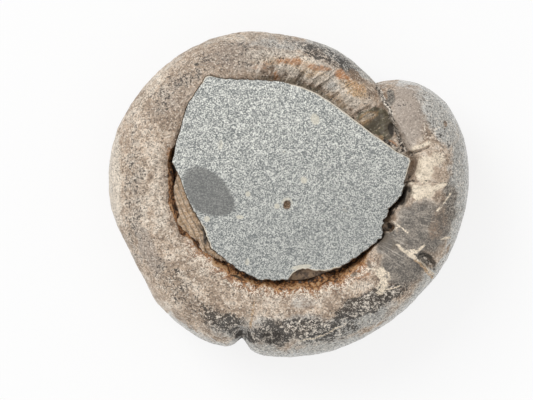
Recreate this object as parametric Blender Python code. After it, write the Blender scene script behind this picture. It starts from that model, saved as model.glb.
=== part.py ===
"""An ammonite fossil lying on its flat side: a coiled stone shell with a grey rock plug in its hollow.

Millimetres are used throughout and scaled to metres when the meshes are made. The origin is on the surface
that the fossil lies on, under the middle of its outline. The coil is described by its spiral angle in
degrees: 10 is where the older whorl comes out from under the last one, and 412 is the last whorl's end.
"""

import bpy
import numpy as np

MM = 0.001

# Whole fossil
SPIRAL_START = 10.0  # the older whorl is hidden before this
CREASE = 52.0  # where the last whorl's end lies against the older whorl
SPIRAL_END = CREASE + 360.0
FLOOR_Z = 14.0  # bottom of the hollow that holds the plug
RIM_POWER = 2.2  # the outer rim's cross-section is a superellipse, a little squarer than round

# Rock plug
PLUG_TOP_Z = 30.2
PLUG_GAP = 0.35  # open crack under the plug and round its foot
PLUG_BEVEL = 0.25
SHELF_DROP = 1.7  # a brown layer shows this far below the plug's top where its edge is chipped
PIT_CENTRE = (-0.45, -2.5)
PIT_RADIUS = 0.65
PIT_DEPTH = 1.1

# Outline of the plug's flat top, anticlockwise from its right-hand corner
PLUG_OUTLINE = [
    (30.3, 8.4), (30.1, 9.2), (26.8, 10.9), (20.1, 15.8), (13.9, 20.6), (10.2, 23.3), (6.5, 25.5),
    (2.8, 27.0), (-0.5, 28.0), (-3.4, 28.5), (-9.6, 28.7), (-16.1, 29.0), (-20.0, 29.7), (-20.8, 29.2),
    (-21.5, 27.8), (-22.8, 26.0), (-25.3, 22.3), (-26.5, 18.1), (-28.0, 12.9), (-29.0, 8.2), (-27.0, 4.2),
    (-26.0, 1.2), (-24.3, -3.0), (-22.0, -6.7), (-21.0, -9.2), (-19.3, -13.4), (-15.1, -16.9),
    (-12.1, -18.9), (-7.6, -21.1), (-4.7, -21.3), (-1.4, -21.2), (0.1, -20.9), (1.3, -19.2), (3.3, -18.5),
    (8.2, -19.0), (12.7, -18.1), (16.4, -15.9), (20.1, -13.2), (23.1, -10.9), (23.6, -9.4), (23.4, -8.2), (23.9, -6.5),
    (25.8, -3.2), (28.1, 0.0), (28.8, 2.0), (29.3, 4.9), (29.8, 6.9),
]

# Below the top the plug keeps its full curve where the top edge is chipped back
CHIPPED_EDGE = [(0.1, -20.9), (1.3, -19.2), (3.3, -18.5), (8.2, -19.0), (12.7, -18.1)]
SHELF_EDGE = [(0.4, -21.4), (3.0, -21.5), (5.7, -21.0), (7.8, -20.2), (9.6, -19.3), (12.8, -18.4)]

# Outer radius of the whorl at each spiral angle; the dip at 252 is a notch broken out of the rim
RIM_RADIUS = {
    10: 32.5, 30: 33.8, 45: 35.0, 52: 35.6, 60: 36.5, 70: 38.2, 80: 39.3, 90: 40.3, 100: 41.6, 110: 43.1,
    120: 44.1, 130: 44.9, 140: 45.4, 160: 45.9, 170: 45.7, 180: 45.1, 190: 43.8, 200: 42.3, 210: 42.1,
    220: 42.8, 230: 42.6, 240: 42.3, 247: 41.5, 250: 39.9, 252: 37.9, 254: 38.8, 257: 40.4, 261: 40.9,
    270: 40.8, 300: 40.8, 320: 41.3, 330: 42.1, 340: 43.1, 350: 44.0, 360: 44.9, 370: 45.9, 380: 46.4,
    390: 45.9, 400: 43.3, 405: 40.8, 409: 38.2, 412: 35.6,
}

# Height of the widest level of the rim, and of the lowest line of the underside
WIDEST_Z = {10: 14.5, 60: 14.5, 120: 15.0, 270: 15.6, 375: 16.5, 400: 16.0, 412: 14.5}
UNDERSIDE_Z = {
    10: 8.0, 30: 4.0, 60: 2.6, 90: 2.0, 120: 1.0, 150: 0.0, 398: 0.0, 405: 1.8, 409: 5.0, 412: 9.0,
}

# How far in from the rim the top starts to roll over
ROLL_WIDTH = {10: 8.0, 60: 8.0, 90: 9.5, 120: 10.5, 150: 11.0, 385: 10.5, 400: 9.0, 405: 7.0, 412: 3.5}
UNDER_ROLL_WIDTH = 13.0
RING_WIDTH = 1.0  # narrowest the ring is between the rolled rim and the dished middle of the underside

# Height of the whorl's crest
CREST_Z = {
    10: 17.0, 20: 23.4, 30: 25.4, 45: 26.2, 60: 27.3, 75: 28.0, 90: 28.5, 105: 29.2, 120: 29.9, 150: 29.9,
    180: 29.8, 240: 30.0, 270: 30.3, 300: 30.6, 330: 31.1, 360: 31.9, 375: 32.5, 385: 32.8, 392: 32.7,
    400: 31.7, 405: 29.8, 409: 26.0, 412: 19.0,
}

# Inner lip of the whorl: its radius where a crack parts it from the plug, its height, how far out the
# surface takes to reach the crest, and how round (2 and more) or straight (1) that rise is
LIP_RADIUS = {
    10: 20.0, 142: 20.0, 150: 32.0, 158: 31.6, 165: 31.0, 172: 30.4, 180: 29.9, 188: 29.2, 194: 28.7,
    199: 27.9, 204: 26.5, 210: 25.5, 218: 24.6, 228: 24.0, 238: 23.5, 255: 22.9, 270: 22.7, 285: 23.0,
    297: 23.6, 307: 24.0, 315: 24.5, 322: 24.7, 327: 24.7, 334: 25.5, 339: 25.9, 344: 27.2, 350: 27.6,
    355: 28.0, 360: 29.9, 367: 31.2, 375: 32.3, 380: 31.8, 390: 30.7, 400: 31.2, 405: 32.0, 409: 33.6,
    412: 35.6,
}
LIP_Z = {
    10: 16.0, 20: 20.5, 30: 23.5, 60: 24.8, 80: 25.0, 90: 25.5, 100: 26.8, 108: 28.4, 115: 29.2, 135: 29.2,
    150: 28.9, 165: 28.8, 240: 28.8, 320: 28.8, 334: 29.2, 345: 28.6, 360: 28.4, 375: 27.2, 400: 25.0,
    409: 20.0, 412: 15.0,
}
RISE_WIDTH = {
    10: 5.0, 30: 6.5, 45: 8.0, 60: 7.5, 75: 6.8, 90: 5.8, 100: 4.2, 110: 2.2, 120: 1.6, 150: 1.8, 165: 2.8,
    240: 3.2, 300: 3.6, 330: 4.6, 345: 4.6, 360: 3.6, 376: 2.6, 386: 1.6, 412: 1.4,
}
RISE_POWER = {10: 1.25, 95: 1.25, 110: 2.0, 130: 2.4, 412: 2.4}

# Bottom of the crack, and the ledge of inner whorl that shows in it on the left
CRACK_Z = {
    10: 17.0, 150: 26.0, 165: 24.5, 180: 23.8, 300: 24.8, 322: 24.8, 334: 26.5, 344: 26.0, 352: 24.6,
    358: 24.6, 366: 26.0, 376: 26.0, 412: 18.0,
}
LEDGE_Z = 27.2
LEDGE_WIDTH = {
    10: 0.0, 168: 0.0, 176: 1.6, 182: 2.3, 190: 3.0, 202: 3.6, 210: 2.8, 218: 1.5, 232: 0.0, 412: 0.0,
}

# Ribs across the sloping inner wall of the older whorl
RIB_FROM, RIB_TO = 50.0, 108.0
RIB_SPACING = 4.05  # degrees
RIB_HEIGHT = 0.45

# The worn, dished underside
DISH_RADIUS = {10: 25.0, 52: 25.5, 90: 25.0, 180: 26.0, 270: 27.0, 360: 28.5, 390: 29.0, 412: 25.5}
DISH_SLOPE = 4.0
DISH_DEPTH = 3.4

# Pits and lumps of the top: x, y, radius across, depth (negative for a lump)
HOLLOWS = [
    (35.0, -16.6, 2.1, 1.6),  # pit under the cream vein
    (22.0, 18.1, 3.6, 0.7),  # sunken green facet
    (24.7, 25.2, 1.8, 0.7),  # dent in the last whorl's end
    (31.8, -14.4, 1.6, -0.5),  # cream vein
]


def along(table, angle):
    """The table's value at each angle, on a smooth curve that never overshoots its stations."""
    stations = np.array(sorted(table), float)
    values = np.array([table[s] for s in sorted(table)], float)
    secant = np.diff(values) / np.diff(stations)
    before, after = secant[:-1], secant[1:]
    same_way = before * after > 0
    inner = np.where(same_way, 2 * before * after / np.where(same_way, before + after, 1.0), 0.0)
    slope = np.concatenate([secant[:1], inner, secant[-1:]])
    i = np.clip(np.searchsorted(stations, angle, side="right") - 1, 0, len(stations) - 2)
    width = stations[i + 1] - stations[i]
    t = np.clip((angle - stations[i]) / width, 0.0, 1.0)
    start = values[i] * (1 + 2 * t) + slope[i] * width * t
    end = values[i + 1] * (3 - 2 * t) - slope[i + 1] * width * (1 - t)
    return start * (1 - t) ** 2 + end * t**2


def outline_radius(points, degrees, centre=(0.0, 0.0)):
    """How far the outline is from the centre in each direction."""
    corner = np.array(points, float) - np.array(centre)
    corner = corner[np.argsort(np.arctan2(corner[:, 1], corner[:, 0]))]
    bearing = np.arctan2(corner[:, 1], corner[:, 0])
    ray = (np.radians(degrees) + np.pi) % (2 * np.pi) - np.pi
    after = np.searchsorted(bearing, ray, side="right") % len(corner)
    a, b = corner[after - 1], corner[after]
    edge = b - a
    across = np.cos(ray) * edge[..., 1] - np.sin(ray) * edge[..., 0]
    return (a[..., 0] * b[..., 1] - a[..., 1] * b[..., 0]) / across


def shelf_outline():
    """The plug's outline below the chip in its edge."""
    first = PLUG_OUTLINE.index(CHIPPED_EDGE[0])
    return PLUG_OUTLINE[:first] + SHELF_EDGE + PLUG_OUTLINE[first + len(CHIPPED_EDGE):]


def socket_radius(degrees):
    """The hollow's wall: just clear of the plug at every level."""
    widest = np.maximum(outline_radius(PLUG_OUTLINE, degrees), outline_radius(shelf_outline(), degrees))
    return widest + 1.4 * PLUG_GAP


def rolled(inward, width):
    """0 at the rim and 1 from one width inward, along a quarter of a superellipse."""
    u = np.clip(inward / width, 0.0, 1.0)
    return (1 - (1 - u) ** RIM_POWER) ** (1 / RIM_POWER)


def whorl_top(angle, radius):
    """Height of the whorl's upper surface at a spiral angle and a radius."""
    socket = socket_radius(angle)
    lip = np.maximum(along(LIP_RADIUS, angle), socket)
    lip_z, crest_z = along(LIP_Z, angle), along(CREST_Z, angle)
    rise = np.clip((radius - lip) / along(RISE_WIDTH, angle), 0.0, 1.0)
    flank = lip_z + (crest_z - lip_z) * (1 - (1 - rise) ** along(RISE_POWER, angle))
    along_ribs = np.clip((angle - RIB_FROM) / (RIB_TO - RIB_FROM), 0.0, 1.0)
    fade = np.minimum(1.0, 3 * np.sin(np.pi * along_ribs)) * 4 * rise * (1 - rise)
    flank = flank + RIB_HEIGHT * fade * np.cos(2 * np.pi * angle / RIB_SPACING)

    crack_z = along(CRACK_Z, angle)
    across = np.clip((radius - socket) / np.maximum(lip - socket, 0.01), 0.0, 1.0)
    crack = crack_z + (lip_z - crack_z) * across**3
    ledge_width = along(LEDGE_WIDTH, angle)
    ledge = LEDGE_Z - 6.0 * np.maximum(radius - socket - ledge_width, 0.0)
    crack = np.where(ledge_width > 0.1, np.maximum(crack, ledge), crack)

    widest, rim = along(WIDEST_Z, angle), along(RIM_RADIUS, angle)
    inner = np.where(radius < lip, crack, flank)
    top = widest + (inner - widest) * rolled(rim - radius, along(ROLL_WIDTH, angle))
    return top - 3.0 * np.maximum(radius - rim, 0.0)


def under_roll(angle):
    """How far in from the rim the underside reaches its lowest line."""
    room = along(RIM_RADIUS, angle) - along(DISH_RADIUS, angle) - RING_WIDTH
    return np.minimum(UNDER_ROLL_WIDTH, room)


def whorl_bottom(angle, radius):
    """Height of the whorl's lower surface at a spiral angle and a radius."""
    widest, rim = along(WIDEST_Z, angle), along(RIM_RADIUS, angle)
    inward = np.clip((along(DISH_RADIUS, angle) - radius) / DISH_SLOPE, 0.0, 1.0)
    dish = DISH_DEPTH * inward**2 * (3 - 2 * inward)
    base = np.maximum(along(UNDERSIDE_Z, angle), dish)
    bottom = widest + (base - widest) * rolled(rim - radius, under_roll(angle))
    return bottom + 3.0 * np.maximum(radius - rim, 0.0)


def hollowed(x, y, z):
    """The surface with its pits and lumps, each a smooth round dip."""
    for hollow_x, hollow_y, size, depth in HOLLOWS:
        near = np.clip(1 - ((x - hollow_x) ** 2 + (y - hollow_y) ** 2) / size**2, 0.0, 1.0)
        z = z - depth * near**2
    return z


def coil_columns():
    """Spiral angles of the mesh's columns: at each corner of the plug, and evenly between them.

    They are closer together where there are ribs, in the notch and at the whorl's end.
    """
    x, y = np.array(PLUG_OUTLINE + SHELF_EDGE).T
    corners = np.unique((np.degrees(np.arctan2(y, x)) - CREASE) % 360.0 + CREASE)
    stretches = [(CREASE, 106, 40), (106, 246, 32), (246, 261, 10), (261, 372, 26), (372, SPIRAL_END, 18)]
    even = np.concatenate([np.linspace(a, b, n, endpoint=False) for a, b, n in stretches])
    clear = np.abs(even[:, None] - corners).min(axis=1) > 0.8
    return np.sort(np.concatenate([even[clear], corners]))


def bank_radius(angle, socket):
    """Where the mesh's rows turn from the crack or wall to the flank: it follows the whorl's inner lip."""
    plain = np.maximum(along(LIP_RADIUS, angle), socket + 2.0)
    crease_rim = RIM_RADIUS[CREASE] - 1.2
    from_crease = np.clip((angle - CREASE) / 26.0, 0.0, 1.0)
    to_crease = np.clip((SPIRAL_END - angle) / 3.0, 0.0, 1.0)
    share = np.minimum(from_crease, to_crease)
    share = share * share * (3 - 2 * share)
    return crease_rim + (plain - crease_rim) * share


def coil_rings():
    """Closed rings of points from the hollow's floor, up and over the rim, to the middle of the underside."""
    angle = coil_columns()
    under = angle - 360.0  # the older whorl, where the last one lies over it
    overlaps = under > SPIRAL_START
    under = np.maximum(under, SPIRAL_START)
    rim = along(RIM_RADIUS, angle)
    socket = socket_radius(angle)
    bank = bank_radius(angle, socket)
    cos, sin = np.cos(np.radians(angle)), np.sin(np.radians(angle))

    def upper(radius):
        last, older = whorl_top(angle, radius), whorl_top(under, radius)
        z = np.where(overlaps, np.maximum(last, older), last)
        return hollowed(radius * cos, radius * sin, z)

    def lower(radius):
        last, older = whorl_bottom(angle, radius), whorl_bottom(under, radius)
        return np.where(overlaps, np.minimum(last, older), last)

    rings = [(socket - 0.4 * PLUG_GAP, np.full_like(angle, FLOOR_Z))]
    for share in (0.0, 0.18, 0.36, 0.52, 0.68, 0.84, 1.0):
        radius = socket + (bank - socket) * share
        rings.append((radius, upper(radius)))
    for share in (0.08, 0.17, 0.27, 0.38, 0.50, 0.62, 0.73, 0.83, 0.91, 0.97):
        radius = bank + (rim - bank) * share
        rings.append((radius, upper(radius)))
    rings.append((rim, along(WIDEST_Z, angle)))
    for share in (0.03, 0.10, 0.22, 0.42, 0.70, 1.0):
        radius = rim - under_roll(angle) * share
        rings.append((radius, lower(radius)))
    for inward in (0.0, 0.3, 0.65, 1.0):
        radius = along(DISH_RADIUS, angle) - DISH_SLOPE * inward
        rings.append((radius, lower(radius)))
    return [np.stack([r * cos, r * sin, z], axis=1) for r, z in rings]


def plug_rings():
    """Closed rings of points from the pit, over the flat top and down the side, to the foot."""
    corner = np.array(PLUG_OUTLINE + SHELF_EDGE) - np.array(PIT_CENTRE)
    angle = np.sort(np.degrees(np.arctan2(corner[:, 1], corner[:, 0])))
    edge = outline_radius(PLUG_OUTLINE, angle, PIT_CENTRE)
    below = np.maximum(edge, outline_radius(shelf_outline(), angle, PIT_CENTRE))
    cos, sin = np.cos(np.radians(angle)), np.sin(np.radians(angle))
    chipped = below - edge > 0.3
    shelf_z = np.where(chipped, PLUG_TOP_Z - SHELF_DROP, PLUG_TOP_Z - 2 * PLUG_BEVEL)
    steps = [
        (np.full_like(angle, PIT_RADIUS), PLUG_TOP_Z),
        (edge - PLUG_BEVEL, PLUG_TOP_Z),
        (edge, PLUG_TOP_Z - PLUG_BEVEL),
        (np.where(chipped, edge + 0.1, edge), shelf_z),
        (below, shelf_z - PLUG_BEVEL),
        (below, FLOOR_Z + PLUG_GAP),
    ]
    x, y = PIT_CENTRE
    return [np.stack([x + r * cos, y + r * sin, z + 0 * r], axis=1) for r, z in steps]


def solid(name, rings, first_pole, last_pole, colour, roughness):
    """A closed mesh from rings of equal length and a pole at each end, with its own material."""
    count = len(rings[0])
    points = np.concatenate([*rings, [first_pole, last_pole]]) * MM
    here, following = np.arange(count), (np.arange(count) + 1) % count
    faces = []
    for row in range(len(rings) - 1):
        top, under = row * count, (row + 1) * count
        faces += [(top + a, under + a, under + b, top + b) for a, b in zip(here, following)]
    pole, opposite = len(points) - 2, len(points) - 1
    last = (len(rings) - 1) * count
    faces += [(pole, a, b) for a, b in zip(here, following)]
    faces += [(opposite, last + b, last + a) for a, b in zip(here, following)]

    mesh = bpy.data.meshes.new(name)
    mesh.from_pydata(points.tolist(), [], [tuple(int(i) for i in face) for face in faces])
    mesh.shade_smooth()
    mesh.set_sharp_from_angle(angle=np.radians(40))
    thing = bpy.data.objects.new(name, mesh)
    bpy.context.collection.objects.link(thing)

    material = bpy.data.materials.new(name)
    material.use_nodes = True
    shader = material.node_tree.nodes["Principled BSDF"]
    shader.inputs["Base Color"].default_value = (*colour, 1.0)
    shader.inputs["Roughness"].default_value = roughness
    shader.inputs["Metallic"].default_value = 0.0
    mesh.materials.append(material)
    return thing


def main():
    for old in list(bpy.data.objects):
        bpy.data.objects.remove(old, do_unlink=True)
    floor, underside = (0.0, 0.0, FLOOR_Z), (0.0, 0.0, DISH_DEPTH)
    solid("ammonite_coil", coil_rings(), floor, underside, (0.42, 0.33, 0.26), 0.75)
    pit = (*PIT_CENTRE, PLUG_TOP_Z - PIT_DEPTH)
    foot = (*PIT_CENTRE, FLOOR_Z + PLUG_GAP)
    solid("matrix_plate", plug_rings(), pit, foot, (0.38, 0.39, 0.37), 0.85)


main()
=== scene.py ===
import math

import bpy
import numpy as np
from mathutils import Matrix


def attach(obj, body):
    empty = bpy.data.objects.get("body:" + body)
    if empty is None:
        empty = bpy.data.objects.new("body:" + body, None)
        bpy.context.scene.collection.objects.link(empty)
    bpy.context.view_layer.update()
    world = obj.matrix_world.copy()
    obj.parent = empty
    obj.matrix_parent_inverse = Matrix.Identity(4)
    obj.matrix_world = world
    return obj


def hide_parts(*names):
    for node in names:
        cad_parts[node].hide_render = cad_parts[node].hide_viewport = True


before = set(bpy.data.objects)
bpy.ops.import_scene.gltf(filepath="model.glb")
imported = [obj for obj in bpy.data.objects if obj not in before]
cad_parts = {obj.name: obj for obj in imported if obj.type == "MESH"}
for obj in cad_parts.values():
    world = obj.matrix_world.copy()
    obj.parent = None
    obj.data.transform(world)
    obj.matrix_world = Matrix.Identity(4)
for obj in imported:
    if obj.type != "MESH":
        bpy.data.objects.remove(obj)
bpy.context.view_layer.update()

# An ammonite fossil seen straight from above: the speckled, worn coil and the flat plug of grey sandstone
# in its hollow. Sizes are in millimetres and become metres when a mesh is made.
mm = 0.001

# Where the camera hangs, and how the photograph's 533 by 400 pixels lie over the fossil
camera = {
    "height": 900.0,
    "sensorWidth": 36.0,
    "over": (-5.54, -1.26),
    "imageCentre": (266.5, 200.0),
    "imageWidth": 533.0,
    "mmPerPixel": 0.252,  # at the level of the coil's rim
    "rimLevel": 16.0,
}


def photoPixel(points):
    # Perspective: a point's distance from the axis, over its distance below the camera, gives its pixel
    x, y, z = np.moveaxis(points, -1, 0)
    level = (camera["height"] - z) / (camera["height"] - camera["rimLevel"])
    perPixel = camera["mmPerPixel"] * level
    column = camera["imageCentre"][0] + (x - camera["over"][0]) / perPixel
    return column, camera["imageCentre"][1] - (y - camera["over"][1]) / perPixel


# Helpers shared by both pieces

def clamp(value):
    return np.clip(value, 0.0, 1.0)


def along(table, angle):
    # A cubic through the table's stations, with slopes that never overshoot them
    stations = np.array(sorted(table), float)
    values = np.array([table[s] for s in sorted(table)], float)
    secant = np.diff(values) / np.diff(stations)
    before, after = secant[:-1], secant[1:]
    sameWay = before * after > 0
    inner = np.where(sameWay, 2 * before * after / np.where(sameWay, before + after, 1.0), 0.0)
    slope = np.concatenate([secant[:1], inner, secant[-1:]])
    i = np.clip(np.searchsorted(stations, angle, side="right") - 1, 0, len(stations) - 2)
    width = stations[i + 1] - stations[i]
    t = clamp((angle - stations[i]) / width)
    start = values[i] * (1 + 2 * t) + slope[i] * width * t
    end = values[i + 1] * (3 - 2 * t) - slope[i + 1] * width * (1 - t)
    return start * (1 - t) ** 2 + end * t**2


def ease(low, high, value):
    # 0 below low, 1 above high and an S curve between
    t = clamp((value - low) / (high - low))
    return t * t * (3 - 2 * t)


def valueNoise(points, size, seed):
    # Random numbers from -1 to 1 on a cubic lattice of this size, blended smoothly inside each cube
    lattice = np.random.default_rng(seed).random((32, 32, 32)) * 2 - 1
    scaled = points / size
    cell = np.floor(scaled).astype(int)
    part = scaled - cell
    part = part * part * (3 - 2 * part)
    total = 0.0
    for corner in np.ndindex(2, 2, 2):
        weight = np.where(corner, part, 1 - part).prod(axis=-1)
        at = (cell + corner) % 32
        total += weight * lattice[at[..., 0], at[..., 1], at[..., 2]]
    return total


def noise(points, size, seed, layers=3):
    # Value noise at this size, and at half the size and half the height for each further layer
    total = 0.0
    for layer in range(layers):
        total += valueNoise(points + 7.3 * layer, size / 2**layer, seed + layer) / 2**layer
    return total


def outlineRadius(corners, degrees, centre=(0.0, 0.0)):
    # Distance from the centre to the polygon in each direction: where the ray crosses the edge it meets
    corner = np.array(corners, float) - np.array(centre)
    corner = corner[np.argsort(np.arctan2(corner[:, 1], corner[:, 0]))]
    bearing = np.arctan2(corner[:, 1], corner[:, 0])
    ray = (np.radians(degrees) + np.pi) % (2 * np.pi) - np.pi
    after = np.searchsorted(bearing, ray, side="right") % len(corner)
    a, b = corner[after - 1], corner[after]
    edge = b - a
    across = np.cos(ray) * edge[..., 1] - np.sin(ray) * edge[..., 0]
    return (a[..., 0] * b[..., 1] - a[..., 1] * b[..., 0]) / across


def gridNormals(points):
    # Cross product of the directions along a row and down a column; the rows close on themselves
    alongRow = np.roll(points, -1, axis=1) - np.roll(points, 1, axis=1)
    downColumn = np.gradient(points, axis=0)
    normal = np.cross(downColumn, alongRow)
    return normal / np.maximum(np.linalg.norm(normal, axis=-1, keepdims=True), 1e-12)


def addObject(name, data):
    thing = bpy.data.objects.new(name, data)
    bpy.context.scene.collection.objects.link(thing)
    return thing


def closedMesh(name, points, firstPole, lastPole, layers):
    # Rows of points joined by quads into a tube, with a fan of triangles to a pole at each end
    rows, columns = points.shape[:2]
    spots = np.concatenate([points.reshape(-1, 3), [firstPole, lastPole]])
    index = np.arange(rows * columns).reshape(rows, columns)
    beside = np.roll(index, -1, axis=1)
    quads = np.stack([index[:-1], index[1:], beside[1:], beside[:-1]], axis=-1).reshape(-1, 4)
    pole = np.full(columns, rows * columns)
    firstFan = np.stack([pole, index[0], beside[0]], axis=1)
    lastFan = np.stack([pole + 1, beside[-1], index[-1]], axis=1)
    mesh = bpy.data.meshes.new(name)
    mesh.from_pydata((spots * mm).tolist(), [], quads.tolist() + firstFan.tolist() + lastFan.tolist())
    mesh.shade_smooth()
    for layer, values in layers.items():
        flat = np.append(values.reshape(-1), [values[0].mean(), values[-1].mean()])
        mesh.attributes.new(layer, "FLOAT", "POINT").data.foreach_set("value", flat.astype(np.float32))
    return addObject(name, mesh)


def blot(column, row, place):
    # 1 in an ellipse of the photograph and 0 outside, over a soft edge; turned clockwise by degrees
    atColumn, atRow, halfWidth, halfHeight, turn = place[:5]
    turned = math.radians(turn)
    dx, dy = column - atColumn, row - atRow
    u = (dx * math.cos(turned) + dy * math.sin(turned)) / halfWidth
    v = (dy * math.cos(turned) - dx * math.sin(turned)) / halfHeight
    strength = place[5] if len(place) > 5 else 1.0
    return strength * ease(1.45, 0.55, np.sqrt(u * u + v * v))


def allBlots(column, row, places):
    # The strongest of these blots at each point
    return np.max([blot(column, row, place) for place in places.values()], axis=0)


def stroke(column, row, path, halfWidth):
    # 1 on a line through the photograph's pixels and 0 beyond its half width, over a soft edge
    nearest = np.full(column.shape, 1e9)
    for (x0, y0), (x1, y1) in zip(path, path[1:]):
        dx, dy = x1 - x0, y1 - y0
        t = clamp(((column - x0) * dx + (row - y0) * dy) / (dx * dx + dy * dy))
        nearest = np.minimum(nearest, np.hypot(column - x0 - t * dx, row - y0 - t * dy))
    return ease(1.5, 0.4, nearest / halfWidth)


def inside(column, row, path, edge):
    # 1 inside a convex outline given clockwise in the photograph, and 0 from one edge width outside it
    nearest = np.full(column.shape, 1e9)
    for (x0, y0), (x1, y1) in zip(path, path[1:] + path[:1]):
        length = math.hypot(x1 - x0, y1 - y0)
        nearest = np.minimum(nearest, ((x1 - x0) * (row - y0) - (y1 - y0) * (column - x0)) / length)
    return ease(-edge, edge, nearest)


# Outlines of the plug's flat top and of the layer below its chip, anticlockwise from the right-hand corner
aboveChip = [
    (30.3, 8.4), (30.1, 9.2), (26.8, 10.9), (20.1, 15.8), (13.9, 20.6), (10.2, 23.3), (6.5, 25.5),
    (2.8, 27), (-0.5, 28), (-3.4, 28.5), (-9.6, 28.7), (-16.1, 29), (-20, 29.7), (-20.8, 29.2),
    (-21.5, 27.8), (-22.8, 26), (-25.3, 22.3), (-26.5, 18.1), (-28, 12.9), (-29, 8.2), (-27, 4.2),
    (-26, 1.2), (-24.3, -3), (-22, -6.7), (-21, -9.2), (-19.3, -13.4), (-15.1, -16.9),
    (-12.1, -18.9), (-7.6, -21.1), (-4.7, -21.3), (-1.4, -21.2),
]
chippedEdge = [
    (-0.1, -21.1), (0.4, -20.3), (1.1, -19.5), (2.1, -18.9), (3.4, -18.5), (5, -18.6), (6.5, -18.9),
    (8.2, -19), (10.2, -18.8), (12.7, -18.1),
]
shelfEdge = [
    (0.1, -21.4), (1.9, -21.5), (3.6, -21.4), (5.5, -21), (7.5, -20.3), (9.4, -19.4), (12.8, -18.4),
]
rightOfChip = [
    (16.4, -15.9), (20.1, -13.2), (23.1, -10.9), (23.6, -9.4), (23.4, -8.2), (23.9, -6.5), (25.8, -3.2),
    (28.1, 0), (28.8, 2), (29.3, 4.9), (29.8, 6.9),
]
plugOutline = aboveChip + chippedEdge + rightOfChip
shelfOutline = aboveChip + shelfEdge + rightOfChip

# The coil, by spiral angle: 10 is where the older whorl shows from under the last one, 412 is the last
# whorl's end. Radii and heights are in millimetres.
coil = {
    "crease": 52,
    "start": 10,
    "columns": 736,
    "crackRows": 24,
    "flankRows": 66,
    "underRows": 20,
    "ringRows": 4,
    "dishRows": 20,
    "floorZ": 14,
    "rimPower": 2.2,
    "gap": 0.08,
    "rim": {
        10: 32.5, 30: 33.8, 45: 35, 52: 35.6, 60: 36.5, 70: 38.2, 80: 39.3, 90: 40.3, 100: 41.6, 110: 43.1,
        120: 44.1, 130: 44.9, 140: 45.4, 160: 45.9, 170: 45.7, 180: 45.1, 190: 43.8, 200: 42.3, 210: 42.1,
        220: 42.8, 230: 42.6, 240: 42.3, 247: 41.5, 250: 39.9, 252: 37.9, 254: 38.8, 257: 40.4, 261: 40.9,
        270: 40.8, 300: 40.8, 320: 41.3, 330: 42.1, 340: 43.1, 350: 44, 360: 44.9, 370: 45.9, 380: 46.4,
        390: 45.9, 400: 43.3, 405: 40.8, 409: 38.2, 412: 35.6,
    },
    "widestZ": {10: 14.5, 60: 14.5, 120: 15, 270: 15.6, 375: 16.5, 400: 16, 412: 14.5},
    "undersideZ": {
        10: 8, 30: 4, 60: 2.6, 90: 2, 120: 1, 150: 0, 398: 0, 405: 1.8, 409: 5, 412: 9,
    },
    "rollWidth": {10: 8, 60: 8, 90: 9.5, 120: 10.5, 150: 11, 385: 10.5, 400: 9, 405: 7, 412: 3.5},
    "underRoll": 13,
    "ringWidth": 1,
    "crestZ": {
        10: 17, 20: 23.4, 30: 25.4, 45: 26.2, 60: 27.3, 75: 28, 90: 28.5, 105: 29.2, 120: 29.9, 150: 29.9,
        180: 29.8, 240: 30, 270: 30.3, 300: 30.6, 330: 31.1, 360: 31.9, 375: 32.5, 385: 32.8, 392: 32.7,
        400: 31.7, 405: 29.8, 409: 26, 412: 19,
    },
    "lip": {
        10: 20, 149: 20, 153: 29.5, 157: 31, 160: 31.4, 165: 31, 172: 30.4, 180: 29.9, 188: 29.2,
        194: 28.7, 199: 28, 204: 26.8, 210: 25.9, 218: 25.1, 228: 24.5, 238: 24, 255: 23.3, 270: 23,
        285: 23.3, 297: 23.8, 307: 24.2, 315: 24.5, 322: 24.7, 327: 24.7, 334: 25.5, 339: 25.9, 344: 26,
        350: 25.9, 355: 27, 360: 28.8, 367: 30.4, 375: 32.3, 380: 31.8, 390: 30.7, 400: 31.2, 405: 32,
        409: 33.6, 412: 35.6,
    },
    "lipZ": {
        10: 16, 20: 20.5, 30: 23.5, 60: 24.8, 80: 25, 90: 25.5, 100: 26.8, 108: 28.5, 115: 29.5, 135: 29.6,
        150: 29.3, 165: 28.9, 240: 28.8, 320: 28.8, 334: 29.2, 345: 28.6, 360: 28.4, 375: 27.2, 400: 25,
        409: 20, 412: 15,
    },
    "riseWidth": {
        10: 5, 30: 6.5, 45: 8, 60: 7.5, 75: 6.8, 90: 5.8, 100: 4.2, 110: 2.2, 120: 1.6, 150: 1.8, 165: 2.8,
        240: 3.2, 300: 3.6, 330: 4.6, 345: 4.6, 360: 3.6, 376: 2.6, 386: 1.6, 412: 1.4,
    },
    "risePower": {10: 1.25, 95: 1.25, 110: 2, 130: 2.4, 412: 2.4},
    "crackZ": {
        10: 17, 150: 26, 165: 25.5, 180: 25, 210: 26.5, 240: 27, 290: 26.8, 305: 25.5, 322: 25,
        334: 27, 344: 26.5, 352: 24.6, 359: 24.6, 364: 27.8, 378: 28, 412: 18,
    },
    "ledgeZ": 27.2,
    "ledgeWidth": {
        10: 0, 167: 0, 174: 1.6, 180: 2.7, 188: 3.8, 194: 4.7, 199: 4.4, 204: 3.4, 210: 2.3, 218: 1.2,
        230: 0, 412: 0,
    },
    "ribsFrom": 24,
    "ribsTo": 112,
    "ribSpacing": 4.05,
    "ribLean": 1.1,  # degrees forward for each millimetre outward
    "ribHeight": 0.3,
    "dish": {10: 25, 52: 25.5, 90: 25, 180: 26, 270: 27, 360: 28.5, 390: 29, 412: 25.5},
    "dishSlope": 4,
    "dishDepth": 3.4,
    "innerWhorl": 0.8,  # each whorl in the dished underside is this share of the next one's size
}

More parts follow.
